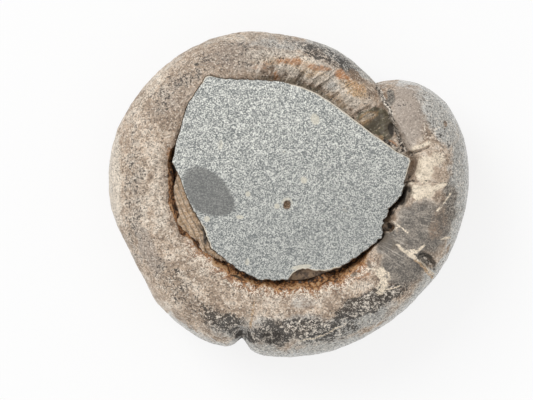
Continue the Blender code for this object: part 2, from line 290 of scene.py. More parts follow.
# Pits, dents and ridges of the coil's top, in pixels of the photograph: column, row, half width, half
# height, turn, and how deep in millimetres
coilHollows = {
    "hole beside the plug": (389, 227, 4.2, 3.6, 0, 4),
    "recess above the hole": (400, 203, 3, 8, 25, 0.9),
    "pit under the vein": (427, 261, 10, 5, 48, 1.8),
    "sunken facet": (381, 124, 13, 15, -30, 0.7),
    "dent in the whorl's end": (389, 96, 5, 8, 0, 0.6),
    "dent by the ledge": (183, 231, 3, 5, -35, 0.6),
    "side of the notch": (238, 333, 7, 5, -30, 0.8),
    "wedge above the plug": (285, 77, 2.2, 6, 8, 0.7),
    "second wedge": (300, 80, 2.8, 7, 26, 0.8),
    "third wedge": (319, 89, 2.2, 5, 35, 0.5),
}
coilRidges = {
    "vein": ([(396, 244), (408, 253), (419, 261), (433, 275)], 2.2, 0.45),
    "upper vein": ([(413, 148), (430, 142)], 2.2, 0.35),
    "crust on the crease": ([(381, 97), (389, 110), (394, 125), (401, 144)], 1.4, 0.45),
    "fragment in the wall": ([(266, 73), (275, 75)], 3.5, 0.6),
    "edge of the cream vein": ([(372, 268), (380, 272), (388, 271), (388, 280)], 1.8, 0.35),
}
coilGrooves = {
    "crack beside the facet": ([(347, 121), (360, 112), (371, 107)], 1.5, 0.8),
    "crack in the wall": ([(328, 102), (338, 94)], 1.3, 0.7),
    "crack under the upper vein": ([(409, 154), (420, 151), (429, 147)], 1.4, 0.7),
    "crack in the cream patch": ([(406, 182), (420, 181), (446, 183)], 1, 0.4),
    "line from the notch": ([(243, 336), (250, 326), (252, 315), (254, 300)], 1.5, 0.35),
    "crack by the plug's left corner": ([(177, 136), (180, 124)], 1, 0.5),
}
starCentre = (449, 183)  # the folds of the cream patch fan out from here, in pixels
starPatch = (428, 172, 20, 27, 0)  # and show here: column, row, half width, half height and turn
facetCrack = (352, 118)  # the facet's folds run beside the crack that starts here, up to the right


def coilAt(name, angle):
    # A value of the coil at these spiral angles
    return along(coil[name], angle)


def raggedness(x, y):
    # How far the plug's broken edge stands back from its outline; least along the clean upper right side
    bearing = np.degrees(np.arctan2(y - plug["pitCentre"][1], x - plug["pitCentre"][0]))
    clean = ease(8, 18, bearing) * ease(100, 80, bearing)
    clean = np.maximum(clean, ease(112, 122, bearing) * 0.7)
    broken = np.abs(noise(np.stack([x, y, 0 * x], axis=-1), 1.6, 61, 3))
    frayed = 0.6 * ease(-24, -16, bearing) * ease(16, 6, bearing)
    return (0.32 + frayed - 0.28 * clean) * broken, clean


def socketRadius(degrees):
    # The hollow's wall, just outside the plug and the layer below its chip
    turned = np.radians(degrees)
    edge = outlineRadius(plugOutline, degrees)
    edge = edge - raggedness(edge * np.cos(turned), edge * np.sin(turned))[0]
    return np.maximum(edge, outlineRadius(shelfOutline, degrees) - 0.25) + 1.4 * coil["gap"]


def rolled(inward, width):
    # Quarter of a superellipse: 0 at the rim, 1 from one width inward
    u = clamp(inward / width)
    return (1 - (1 - u) ** coil["rimPower"]) ** (1 / coil["rimPower"])


def ringPoints(angle, radius):
    # Points on the unrolled spiral, for noise that is the same on both sides of the crease
    turned = np.radians(angle)
    return np.stack([radius * np.cos(turned), radius * np.sin(turned), angle / 10 + 0 * radius], axis=-1)


def lipRadius(angle, socket):
    # The inner lip, ragged where it stands clear of the plug
    lip = np.maximum(coilAt("lip", angle), socket)
    clear = ease(0.3, 1.2, lip - socket)
    return lip + clear * 0.42 * noise(ringPoints(angle, 28.0), 2.0, 11)


def ledgeEdge(angle):
    # How wide the ledge of inner whorl is, with a broken edge
    ragged = 0.45 * noise(ringPoints(angle, 27.0), 1.6, 31)
    width = coilAt("ledgeWidth", angle)
    return np.maximum(width + ragged * (width > 0.3), 0.0)


def ribWave(angle, radius, lip):
    # Leaning ribs of uneven width and height, from -1 in a groove to 1 on a rib
    wander = noise(ringPoints(angle, radius), 5.0, 12)
    leaning = angle + coil["ribLean"] * (radius - lip)
    phase = 2 * np.pi * leaning / coil["ribSpacing"] + 1.5 * wander
    uneven = np.clip(0.55 + 0.8 * noise(ringPoints(leaning, 30.0), 3.0, 14, 2), 0.0, 1.3)
    return (np.cos(phase) + 0.5 * np.cos(2.3 * phase + 1.0)) * uneven


def ribShare(angle):
    # 1 over the ribbed part of the inner wall, fading out at both ends
    share = clamp((angle - coil["ribsFrom"]) / (coil["ribsTo"] - coil["ribsFrom"]))
    return np.minimum(1.0, 2.5 * np.sin(np.pi * share)) * (0.35 + 0.65 * ease(50, 60, angle))


def whorlTop(angle, radius):
    # Steep wall up to the lip, a rise from the lip to the crest, then the superellipse down to the rim
    socket = socketRadius(angle)
    lip = lipRadius(angle, socket)
    lipZ, crestZ = coilAt("lipZ", angle), coilAt("crestZ", angle)
    rise = clamp((radius - lip) / coilAt("riseWidth", angle))
    flank = lipZ + (crestZ - lipZ) * (1 - (1 - rise) ** coilAt("risePower", angle))
    fade = ribShare(angle) * np.minimum(1.0, 5 * rise * (1.05 - rise))
    flank += coil["ribHeight"] * fade * ribWave(angle, radius, lip)
    wander = 0.55 * noise(ringPoints(angle, radius), 7.0, 15, 2)
    folds = ease(246, 262, angle) * ease(345, 325, angle)
    folds = folds * np.exp(-np.maximum(radius - lip, 0) / 3.5)
    flank += 0.2 * folds * np.cos(2 * np.pi * angle / 6.3 + 2.0 * wander)

    crackZ = coilAt("crackZ", angle) + 0.6 * noise(ringPoints(angle, radius), 1.4, 13)
    across = clamp((radius - socket) / np.maximum(lip - socket, 0.01))
    crack = crackZ + (lipZ - crackZ) * across**1.7
    edge = ledgeEdge(angle)
    crenulation = 0.12 * np.cos(2 * np.pi * angle / 3.1 + 5.0 * wander)
    ledge = coil["ledgeZ"] + crenulation - 5.0 * np.maximum(radius - socket - edge, 0.0)
    crack = crack - 1.3 * (edge > 0.1) * np.exp(-((radius - socket - edge - 0.45) / 0.35) ** 2)
    crack = np.where(edge > 0.1, np.maximum(crack, ledge), crack)

    widest, rim = coilAt("widestZ", angle), coilAt("rim", angle)
    inner = np.where(radius < lip, crack, flank)
    top = widest + (inner - widest) * rolled(rim - radius, coilAt("rollWidth", angle))
    return top - 3.0 * np.maximum(radius - rim, 0.0)


def underRoll(angle):
    # How far in from the rim the underside reaches its lowest line
    room = coilAt("rim", angle) - coilAt("dish", angle) - coil["ringWidth"]
    return np.minimum(coil["underRoll"], room)


def innerWhorls(angle, radius, dish):
    # Log spiral: each turn inward is smaller by the same share, and arches up between its two seams
    turnsIn = np.log(np.maximum(radius, 1.5) / dish) / math.log(coil["innerWhorl"])
    place = turnsIn % 1.0
    arch = np.sin(np.pi * place) ** 0.7
    ribs = 1 + 0.22 * np.cos(np.radians(angle) * 44)
    return 0.13 * radius * (1 - coil["innerWhorl"]) * 2 * arch * ribs * (radius < dish)


def whorlBottom(angle, radius):
    # A dished middle, a flat worn ring to lie on, then the superellipse up to the rim
    widest, rim = coilAt("widestZ", angle), coilAt("rim", angle)
    dish = coilAt("dish", angle)
    inward = clamp((dish - radius) / coil["dishSlope"])
    depth = coil["dishDepth"] * inward**2 * (3 - 2 * inward)
    depth = depth - inward * innerWhorls(angle, radius, dish) * 0.9
    base = np.maximum(coilAt("undersideZ", angle), depth)
    bottom = widest + (base - widest) * rolled(rim - radius, underRoll(angle))
    return bottom + 3.0 * np.maximum(radius - rim, 0.0)


def bankRadius(angle, socket):
    # Where the rows turn from the crack to the flank: they follow the lip, and the rim at the crease
    plain = np.maximum(coilAt("lip", angle), socket + 2.0)
    creaseRim = coil["rim"][coil["crease"]] - 1.2
    fromCrease = clamp((angle - coil["crease"]) / 26.0)
    toCrease = clamp((coil["crease"] + 360.0 - angle) / 3.0)
    return creaseRim + (plain - creaseRim) * ease(0.0, 1.0, np.minimum(fromCrease, toCrease))


def coilShape():
    # Rows of constant share from the hollow's floor out to the rim and back under to the middle. The share
    # 2q2 - q3 of the way, with q from 0 at the rim, keeps the steep rim's rows evenly apart.
    angle = coil["crease"] + np.linspace(0.0, 360.0, coil["columns"], endpoint=False)
    crowd = 9.0 * np.sin(np.radians(angle - coil["crease"])) * ease(0, 60, angle - coil["crease"])
    angle = angle - crowd * ease(0, 60, coil["crease"] + 360 - angle)
    under = angle - 360.0
    overlaps = under > coil["start"]
    under = np.maximum(under, coil["start"])
    rim, socket = coilAt("rim", angle), socketRadius(angle)
    bank, dish = bankRadius(angle, socket), coilAt("dish", angle)

    q = np.linspace(1.0, 0.0, coil["flankRows"])[:, None]
    flank = rim - (rim - bank) * (2 * q**2 - q**3)
    crack = socket + (bank - socket) * np.linspace(0.0, 1.0, coil["crackRows"], endpoint=False)[:, None]
    upper = np.concatenate([crack, flank])
    q = np.linspace(0.0, 1.0, coil["underRows"] + 1)[1:, None]
    rollIn = rim - underRoll(angle) * (2 * q**2 - q**3)
    ringStart = rim - underRoll(angle)
    ring = ringStart + (dish - ringStart) * np.linspace(0.0, 1.0, coil["ringRows"])[1:, None]
    middle = dish * np.linspace(1.0, 0.03, coil["dishRows"])[1:, None]
    lower = np.concatenate([rollIn, ring, middle])

    upperAngle, lowerAngle = angle + 0 * upper, angle + 0 * lower
    last, older = whorlTop(upperAngle, upper), whorlTop(under + 0 * upper, upper)
    topZ = np.where(overlaps, np.maximum(last, older), last)
    last, older = whorlBottom(lowerAngle, lower), whorlBottom(under + 0 * lower, lower)
    lowZ = np.where(overlaps, np.minimum(last, older), last)

    radius = np.concatenate([(socket - 0.4 * coil["gap"])[None], upper, lower])
    z = np.concatenate([np.full_like(angle, coil["floorZ"])[None], topZ, lowZ])
    turned = np.radians(angle)
    points = np.stack([radius * np.cos(turned), radius * np.sin(turned), z], axis=-1)
    return points, angle + 0 * radius, radius


def weatherCoil(points, angle, radius):
    # Moves each point along the surface's normal: broad wear, lumps, grains, then the pits and ridges
    normal = gridNormals(points)
    column, row = photoPixel(points)
    facingUp = ease(0.0, 0.3, normal[..., 2])
    free = ease(0.2, 1.4, radius - socketRadius(angle))  # keeps clear of the plug
    move = 0.2 * noise(points, 16.0, 1, 2)
    move += 0.13 * noise(points, 3.4, 2, 2)
    rough = 1 - 0.6 * smoothZones(column, row) * facingUp
    move += rough * 0.075 * noise(points, 1.1, 3, 2)
    pores = ease(0.35, 0.75, noise(points, 1.9, 4, 2))
    move -= rough * 0.16 * pores
    for place in coilHollows.values():
        move -= place[5] * blot(column, row, place[:5]) * facingUp
    for path, halfWidth, height in coilRidges.values():
        broken = 0.6 + 0.6 * noise(points, 1.2, 5, 2)
        move += height * stroke(column, row, path, halfWidth) * facingUp * broken
    for path, halfWidth, depth in coilGrooves.values():
        move -= depth * stroke(column, row, path, halfWidth) * facingUp
    move += 0.15 * blot(column, row, starPatch) * starFolds(column, row) * facingUp
    move += 0.08 * inside(column, row, facet, 2.0) * facetFolds(column, row) * facingUp
    below = points[..., 2] < coilAt("widestZ", angle)
    settle = np.where(below, ease(0.0, 3.0, points[..., 2]), free)
    moved = points + normal * (move * settle)[..., None]
    moved[..., 2] = np.maximum(moved[..., 2], 0.0)
    moved[0] = points[0]
    moved[1] = points[1]
    return moved


# Colour zones of the coil, in pixels of the photograph: column, row, half width, half height, turn and,
# where it isn't 1, strength
coilStains = {
    "pale": {
        "left rim": (114, 190, 8, 78, 0, 0.9), "left": (138, 200, 12, 50, 0, 0.42),
        "upper left": (150, 90, 5, 42, 38, 0.5), "lower left": (160, 302, 6, 30, -40, 0.35),
        "top rim": (235, 38, 55, 4, -6, 0.45), "inner left": (160, 190, 8, 52, -4, 0.45),
        "inner, low": (190, 262, 8, 26, -42, 0.4), "by the nose": (456, 128, 4, 30, -22, 0.7),
    },
    "taupe": {
        "top": (250, 55, 55, 18, -6, 0.6), "upper left": (175, 95, 36, 14, -46, 0.5),
        "lower left": (148, 250, 9, 30, -22, 0.75), "left band": (135, 195, 7, 60, 0, 0.35),
        "nose": (408, 110, 18, 34, -8), "top right": (335, 62, 30, 14, 30, 0.6),
    },
    "grey": {
        "right rim": (460, 190, 12, 66, 5, 1.1), "lower right": (429, 289, 13, 50, 41),
        "bottom rim": (335, 347, 60, 7, -10), "bottom rim, left": (268, 350, 26, 6, 12, 0.75),
        "bottom": (345, 325, 55, 12, -20, 0.9), "bottom left": (255, 332, 55, 14, 8, 0.6),
        "top right": (338, 54, 50, 8, 33), "outer nose": (440, 117, 14, 34, -26, 0.95),
        "top": (285, 45, 45, 7, 4, 0.55), "lumps": (303, 302, 14, 8, 0, 0.5),
        "hollows": (350, 279, 10, 4, -25, 0.5), "middle": (303, 322, 28, 8, -5, 0.6),
        "wall": (331, 85, 7, 6, 0, 0.6),
    },
    "tan": {
        "shoulder": (285, 62, 36, 6, 4, 0.5), "by the crease": (354, 88, 14, 8, 32),
        "left of wall": (312, 72, 14, 6, 8, 0.6), "facet, top": (367, 118, 13, 5, -32),
        "facet, foot": (383, 138, 6, 2.5, 25, 0.8), "lower edge": (290, 290, 45, 5, 0, 0.45),
        "wall": (335, 98, 16, 6, 38, 0.5),
    },
    "orange": {
        "strong spot": (342, 74, 9, 5, 35), "above veins": (357, 277, 13, 5, -20, 0.7),
        "upper spot": (290, 61, 14, 4, 0, 0.8), "left of it": (263, 65, 12, 3, -4, 0.5),
        "red line": (316, 67, 14, 3, 8, 0.8), "to crease": (356, 85, 12, 5, 38, 0.5),
        "fragment edge": (276, 75, 2.5, 3, 0, 0.9), "corner fragment": (392, 143, 5, 3, 30, 0.8),
        "left crack": (170, 152, 3, 6, 5, 0.8),
    },
    "brown": {
        "wall fragment": (270, 72, 9, 6, 10, 0.8), "above crease": (356, 76, 9, 4, 38, 0.9),
        "recess": (413, 169, 6, 14, 8, 0.6), "above hole": (391, 216, 5, 6, 20, 0.7),
        "nose, foot": (400, 138, 3, 13, -20, 0.7), "beside dent": (382, 93, 3, 8, -20, 0.8),
        "shell, side": (438, 224, 9, 20, 20, 0.5), "by the patch": (439, 197, 9, 7, 0, 0.6),
        "nose spot": (444, 125, 4, 3.5, 0, 0.9), "patch": (437, 170, 4, 5, 0, 0.4),
    },
    "smooth": {
        "nose": (407, 118, 14, 34, -8), "grey shell": (418, 228, 26, 26, 0),
        "lower shell": (400, 262, 22, 19, -30), "flat": (386, 246, 12, 12, -30),
        "facet": (379, 122, 19, 18, -30), "lower left": (162, 303, 7, 32, -40, 0.7),
        "below plug": (298, 302, 34, 9, 0, 0.5), "patch": (425, 176, 19, 28, 0),
    },
    # Dark grey shell; at the dent and behind the facet it is painted shade
    "dark": {
        "grey shell": (422, 228, 27, 27, 0, 0.95), "lower shell": (404, 264, 24, 21, -30),
        "flat": (390, 243, 14, 15, -30, 1.1), "shell, rim": (447, 212, 9, 30, 8, 0.85),
        "dent": (390, 96, 5, 8, 0, 0.95), "behind facet": (390, 128, 4, 13, -15, 0.8),
    },
    "cream": {
        "patch, top": (437, 158, 9, 7, 0, 0.6), "patch, middle": (424, 170, 9, 12, 0, 1.15),
        "patch, foot": (423, 192, 12, 7, -10, 1.15), "patch, side": (441, 186, 9, 3, 0, 0.9),
        "corner": (381, 273, 6, 6, 25, 0.8), "below corner": (383, 287, 6, 10, 12, 0.9),
        "recess gap": (412, 185, 4.5, 1.2, -5, 0.7), "vein ground": (352, 284, 20, 8, -22, 0.35),
        "beside pit": (413, 252, 4, 2, 30, 0.9), "facet, top": (367, 118, 11, 3.5, -32, 0.6),
    },
    "speck": {
        "notch, left": (222, 320, 26, 11, 15, 0.9), "bottom": (300, 331, 62, 13, -5, 0.95),
        "lower right": (368, 303, 38, 11, -24, 1.45), "lower left": (190, 302, 40, 9, 40, 0.6),
        "above it": (172, 275, 26, 9, 45, 0.5), "left": (134, 195, 9, 74, 0, 0.48),
        "upper left": (180, 82, 48, 14, -42, 0.5), "top": (250, 52, 50, 14, -5, 0.35),
        "top right": (325, 56, 40, 7, 24, 0.82), "outer nose": (438, 128, 12, 26, -15, 0.25),
        "right": (452, 170, 7, 45, 0, 0.22), "wall": (318, 86, 16, 8, 25, 0.35),
    },
    # Painted shade in creases, hollows and recesses: by the facet's crease, right of the plug, on the ledge and
    # at the wall's foot beside the plug, with dark streaks across the facet
    "grooveShade": {
        "facet, right": (389, 128, 5, 11, -20), "flat": (388, 243, 11, 9, -30, 0.7),
        "ledge": (204, 234, 3, 12, -25), "facet streak": (374, 122, 11, 2.2, -30, 0.9),
        "lower streak": (382, 131, 8, 1.8, -30, 0.7), "facet, top": (378, 108, 8, 2, -20, 0.6),
        "hollow": (353, 273, 5, 2.5, -25), "second hollow": (369, 264, 2.5, 5, -20, 0.9),
        "third hollow": (339, 281, 3, 2, -15, 0.8), "wall, foot": (300, 84, 30, 3, 27, 0.35),
        "right recess": (405, 198, 6, 7, 30, 0.9), "recess, top": (408.5, 191, 5, 4.5, 0, 1.1),
        "recess, corner": (411, 175, 3.5, 8, 0, 0.5),
    },
    # Black is mostly painted shade: in the hole, the notch, the pit, the wedges, the recesses and along the
    # plug's foot; the blotch and the lower right streak are dark stone
    "black": {
        "blotch": (273, 337, 14, 7, 5, 0.75), "hole": (389, 227, 4, 3.4, 0),
        "notch, left": (239, 333, 6, 4, -40), "notch, right": (251, 337, 3, 7, -25, 0.95),
        "lower right": (384, 299, 18, 4, -20, 0.5), "facet corner": (392, 130, 3.6, 9, -15, 0.85),
        "right recess": (403, 197, 3.2, 8, 32), "recess": (409, 176, 1.8, 3, 0, 0.9),
        "recess, foot": (408, 190.5, 3, 3, 0, 0.8), "first wedge": (284, 79, 2.4, 4, 8, 0.5),
        "second wedge": (299, 83, 3, 5, 28, 0.55), "wall, foot": (325, 97, 12, 1.6, 36, 0.5),
        "below the ledge": (236, 276, 6, 2, 25, 0.9), "beside plug": (205, 236, 2.5, 9, -25, 0.8),
        "pit": (430, 261, 3, 8, -42, 0.8),
    },
}
coilLines = {
    "cream": [
        ([(413, 149), (430, 143)], 1.8),
        ([(384, 233), (392, 231), (398, 227), (402, 228), (408, 232)], 0.8),
        ([(394, 221), (399, 227)], 0.7),
        ([(397, 245), (405, 251), (415, 257)], 2.0),
        ([(415, 257), (425, 266), (433, 274)], 1.3),
        ([(411, 254), (417, 251), (423, 246)], 1.4),
        ([(383, 291), (392, 289), (400, 286)], 1.1),
        ([(438, 210), (446, 200), (451, 194)], 0.9),
        ([(300, 341), (318, 338), (332, 330), (345, 325)], 1.0),
        ([(372, 268), (380, 272), (388, 272), (389, 280)], 1.3),
        ([(441, 239), (450, 237)], 1.2),
    ],
    "black": [
        ([(352, 118), (362, 112), (370, 108)], 0.9),
        ([(405, 183), (410, 181), (416, 180)], 1.2),
        ([(328, 102), (338, 94)], 0.8),
        ([(409, 154), (420, 151), (429, 147)], 0.9),
        ([(406, 182), (420, 181), (446, 183)], 0.6),
        ([(417, 255), (427, 254), (434, 261), (434, 269)], 1.7),
        ([(180, 126), (177, 135)], 0.9),
        ([(174, 160), (174, 172), (174, 181)], 1.5),
        ([(345, 262), (355, 255), (366, 247)], 1.4),
        ([(391, 215), (397, 206), (403, 196), (406, 187)], 1.9),
    ],
    "pale": [
        ([(418, 90), (424, 106), (426, 117), (425, 130), (421, 141)], 1.0),
    ],
    "crust": [
        ([(378, 88), (383, 98), (389, 110), (394, 125), (400, 140), (405, 150)], 2.6),
        ([(385, 141), (393, 146), (402, 152)], 2.6),
        ([(423, 257), (430, 264)], 1.6),
    ],
    "tan": [
        ([(250, 328), (252, 315), (254, 300)], 1.2),
        ([(415, 259), (424, 268), (432, 277)], 1.8),
    ],
}
facet = [(353, 117), (374, 105), (388, 110), (393, 126), (394, 138), (382, 140), (365, 128)]
rustAlong = {
    52: 0, 145: 0, 155: 0.9, 330: 0.9, 338: 0.5, 350: 0.4, 356: 0.55, 364: 0.3, 372: 0.2, 381: 0, 412: 0,
}
fringeAlong = {52: 0, 150: 0.2, 195: 0.3, 215: 0.9, 250: 1.0, 316: 1.0, 327: 0.1, 345: 0.0, 412: 0}


def smoothZones(column, row):
    # Where the shell is worn smooth
    return allBlots(column, row, coilStains["smooth"])


def starFolds(column, row):
    # Folds that fan out from a point, from -1 in a groove to 1 on a fold
    dx, dy = column - starCentre[0], row - starCentre[1]
    bearing = np.arctan2(dy, -dx)
    return np.cos(13 * bearing + 0.03 * np.hypot(dx, dy) + 0.6) * ease(3, 9, np.hypot(dx, dy))


def facetFolds(column, row):
    # Straight folds beside the facet's crack, from -1 in a groove to 1 on a fold
    away = 0.485 * (column - facetCrack[0]) + 0.874 * (row - facetCrack[1])
    return 0.6 * np.cos(2 * np.pi * away / 7.3 - 0.4) + 0.6 * np.cos(2 * np.pi * away / 3.1)


def coilLayers(points, normal, angle, radius):
    # One number from 0 to 1 at each point for each kind of stain. Noise shifts the places a little, so that
    # no stain keeps the edge of an ellipse.
    column, row = photoPixel(points)
    z = points[..., 2]
    seen = ease(5.0, 14.0, z)
    shiftColumn = column + 2.8 * noise(points, 2.4, 51)
    shiftRow = row + 2.8 * noise(points, 2.4, 55)
    lineColumn = column + 1.1 * noise(points, 1.3, 52, 2)
    lineRow = row + 1.1 * noise(points, 1.3, 56, 2)
    layers = {}

    def spread(layer, amount):
        # The stronger of what the layer holds and this
        layers[layer] = np.maximum(layers.get(layer, 0.0), amount)

    for layer, places in coilStains.items():
        spread(layer, allBlots(shiftColumn, shiftRow, places) * seen)
    for layer, lines in coilLines.items():
        drawn = np.max([stroke(lineColumn, lineRow, path, halfWidth) for path, halfWidth in lines], axis=0)
        drawn = drawn * clamp(0.85 + 0.5 * noise(points, 0.9, 53, 2))
        spread(layer, drawn * seen)
    spread("green", inside(shiftColumn, shiftRow, facet, 2.0) * seen)
    layers["speck"] = layers["speck"] * (1 - 0.9 * np.minimum(layers["cream"], 1.0))

    # Brown iron stain in the crack, and a fringe of it beyond the lip
    top = z > coilAt("widestZ", angle)
    socket = socketRadius(angle)
    lip = lipRadius(angle, socket)
    beyond, fromPlug = radius - lip, radius - socket
    frayed = beyond + 0.75 * noise(points, 2.4, 57)
    inCrack = ease(0.2, 0.8, lip - socket) * ease(0.35, -0.1, beyond) * top
    edge = ledgeEdge(angle)
    onLedge = ease(0.25, -0.1, fromPlug - edge) * (edge > 0.2)
    ledge = inCrack * onLedge
    fringed = along(fringeAlong, angle) * top
    stained = np.maximum(inCrack, 0.85 * fringed * ease(1.6, 0.2, frayed))
    spread("rust", stained * along(rustAlong, angle) * (1 - 0.9 * onLedge))
    # Painted shade in the crack: the iron's colour runs from black by the plug to pale towards the lip, and is
    # darker along one stretch
    lit = ease(0.2, 0.9, (fromPlug - edge) / np.maximum(lip - socket - edge, 0.3))
    shaded = 0.3 * ease(283, 292, angle) * ease(307, 300, angle)
    lit = lit * (0.7 + 0.3 * ease(195, 225, angle) - shaded)
    layers["lit"] = lit * (1 - 0.3 * ease(0.0, 0.5, beyond))
    fringe = fringed * ease(3.4, 0.3, frayed)
    spread("orange", fringe * (1 - onLedge))
    spread("tan", ledge * 0.7)
    spread("green", ledge * 0.4)
    for worn in (ledge, fringe, 0.8 * layers["orange"]):
        spread("smooth", worn)
    spread("sutures", fringed * ease(5.0, 1.6, frayed) * ease(-1.2, 0.0, beyond))
    spread("sutures", 0.4 * ledge)
    recess = ease(340, 350, angle) * (1 - 0.6 * ease(360, 368, angle)) * (angle < 386)
    spread("brown", 0.8 * inCrack * recess)

    # Painted shade in the grooves of the ribbed wall, of the facet's folds and of the star, dark stripes along
    # the ledge, and painted shade at the wall's foot by the plug
    ribbed = ribShare(angle) * top * ease(9.0, 6.5, beyond) * ease(-0.5, 0.5, fromPlug)
    older = ease(52, 46, angle - 360) * (angle > 370)
    ribbed = np.maximum(ribbed, older * ribShare(angle - 360) * top * ease(30.0, 28.0, radius))
    wave = np.where(older > 0, ribWave(angle - 360, radius, 24.0), ribWave(angle, radius, lip))
    grooveShade = ribbed * ease(-0.1, -1.0, wave) * ease(7.5, 2.5, beyond) * 0.4
    stripes = np.cos(2 * np.pi * fromPlug / 1.3 + 1.2 * noise(points, 3.0, 58, 2))
    grooveShade = np.maximum(grooveShade, ledge * ease(0.2, 0.9, stripes) * 0.75)
    green, star = layers["green"], ease(0.2, -0.9, starFolds(column, row)) * (column > 405)
    folds = facetFolds(shiftColumn, row)
    grooveShade = np.maximum(grooveShade, green * ease(0.4, -0.6, folds) * 0.9)
    grooveShade = np.maximum(grooveShade, layers["cream"] * star * 0.45)
    spread("grooveShade", grooveShade * seen)
    spread("tan", green * ease(0.2, 0.9, folds) * 0.35)
    spread("cream", green * ease(0.1, 0.9, folds) * 0.46)
    layers["ribbed"] = ribbed * (1 - older)
    spread("pale", 1.25 * ribbed * ease(0.8, 2.8, fromPlug) * (1 - green))
    spread("green", 0.6 * ribbed * ease(2.6, 0.6, fromPlug) * (1 - older))
    # Painted shade at the foot of the ribbed wall, close to the plug
    layers["dirtAndShade"] = ribbed * ease(3.0, 0.3, fromPlug) * 0.2
    # Painted sheen: pale grey where the rim turns steeply away, stronger on the lower right
    grazing = ease(0.6, 0.1, normal[..., 2]) * ease(12.0, 16.0, z)
    nearRim = ease(9.0, 5.0, coilAt("rim", angle) - radius)
    layers["rimSheen"] = grazing * nearRim * np.where(column + row > 480, 1.0, 0.35)

    # The underside and lower rim, which the photograph doesn't show, get patches of the same stains
    unseen = 1 - seen
    patch = noise(points, 18.0, 41)
    spread("grey", unseen * ease(-0.1, 0.6, patch))
    spread("speck", unseen * ease(0.0, 0.7, -patch) * 0.8)
    spread("tan", unseen * 0.6 * ease(0.3, 0.8, noise(points, 9.0, 44, 2)))
    # Where the dished underside faces down it is darkened with the same colour
    hollow = (radius < coilAt("dish", angle)) * unseen
    spread("dirtAndShade", 0.8 * hollow * ease(-0.99, -0.9, normal[..., 2]))
    layers["around"] = np.radians(angle + coil["ribLean"] * beyond * ribShare(angle)) * 28.0
    layers["beyond"] = np.clip(beyond, -6.0, 30.0)
    return layers


def makeCoil():
    points, angle, radius = coilShape()
    points = weatherCoil(points, angle, radius)
    layers = coilLayers(points, gridNormals(points), angle, radius)
    top = (0.0, 0.0, coil["floorZ"])
    piece = closedMesh("fossil_coil", points, top, (0.0, 0.0, coil["dishDepth"] - 0.2), layers)
    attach(piece, "root")
    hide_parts("ammonite_coil")
    return piece


# The plug of grey sandstone
plug = {
    "topZ": 30.2,
    "columns": 720,
    "bevel": 0.25,
    "shelfDrop": 1.7,
    "pitCentre": (-0.45, -2.5),
    "pitRadius": 0.95,
    "pitDepth": 0.9,
    "topRows": 88,
    "sideRows": 12,
}
plugMarks = {
    "oval": {"dark oval": (209, 195, 20, 33, -40)},
    "cream": {
        "below the oval": (207, 219, 3, 3, 0), "left of the pit": (277, 206, 3, 3, 0, 0.9),
        "round the pit": (287, 204, 6.5, 7.5, 0, 0.75), "above the chip": (301, 267, 11, 2.5, -8, 0.8),
        "top right": (315, 119, 5, 7, -20, 0.7), "right": (304, 180, 4, 4, 0, 0.7),
        "by the oval": (240, 217, 4, 2, 0, 0.9), "low": (247, 262, 3, 4, 0, 0.6),
        "upper left": (220, 145, 4, 7, 0, 0.5), "centre": (248, 194, 3, 3, 0, 0.7),
        "upper middle": (284, 152, 3, 3, 0, 0.5), "right of the pit": (345, 210, 4, 3, 0, 0.45),
    },
}


